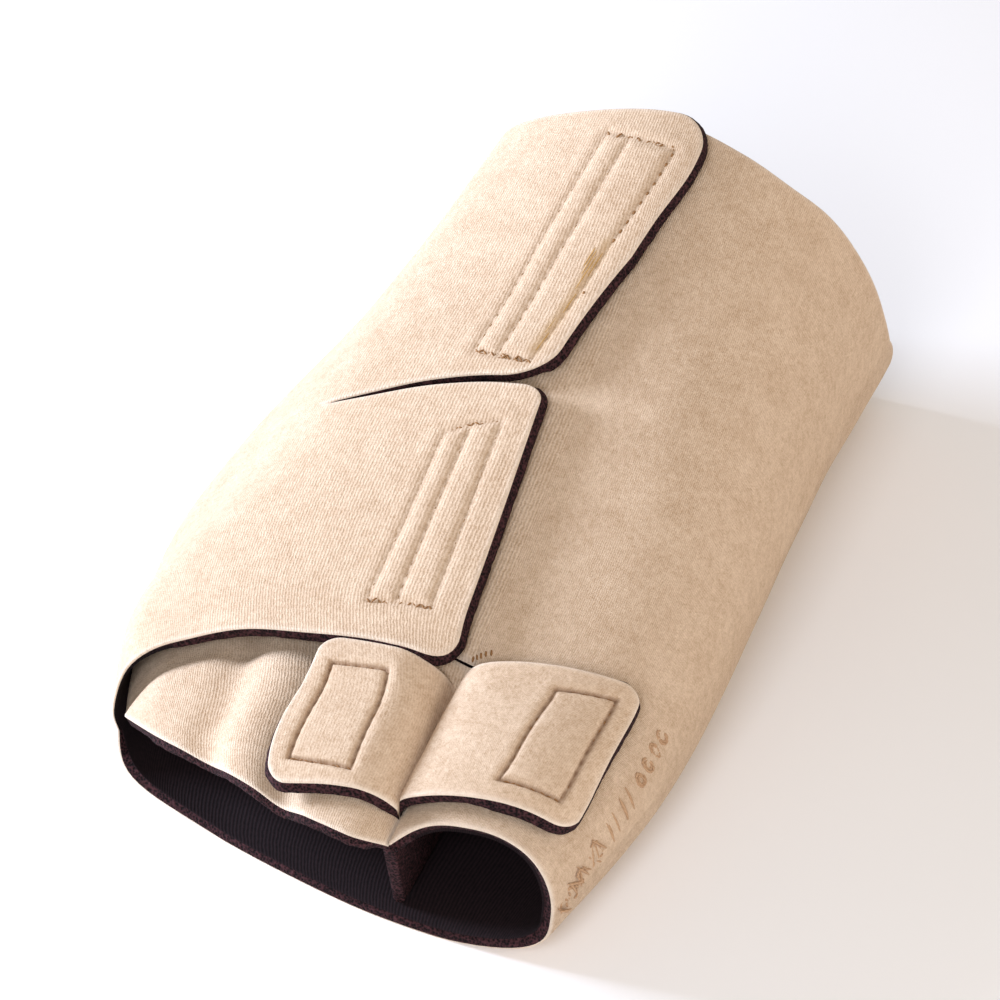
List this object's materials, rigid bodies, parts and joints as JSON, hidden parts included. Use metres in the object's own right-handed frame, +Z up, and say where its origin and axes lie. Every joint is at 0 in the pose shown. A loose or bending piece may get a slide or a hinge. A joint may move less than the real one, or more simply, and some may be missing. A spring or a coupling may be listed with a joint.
{
  "type": "toe compression wrap",
  "caption": "Soft foam-laminate wrap for a forefoot: two instep straps with hook pads close over an underlap, and separate covers and tabs hold the big toe apart from the lesser toes.",
  "frame": {"origin": "middle of the sole's flat underside, on the plane that the wrap rests on", "axes": "+Y towards the heel, so the toes point to -Y; +X towards the big toe's side; +Z up through the instep"},
  "size_m": [0.1064, 0.1649, 0.0758],
  "materials": {
    "loop_laminate": "brushed knit loop face on dark foam",
    "dark_foam": "open foam, dark plum brown",
    "hook_tape": "fine moulded hooks"
  },
  "bodies": {
    "root": {"foot_wrap": "loop_laminate", "lesser_toe_cover": "loop_laminate", "big_toe_tab": "loop_laminate", "lesser_toe_tab": "loop_laminate", "toe_divider": "dark_foam", "upper_hook_pad": "hook_tape", "lower_hook_pad": "hook_tape", "big_toe_hook_pad": "hook_tape", "lesser_toe_hook_pad": "hook_tape"}
  },
  "joints": []
}
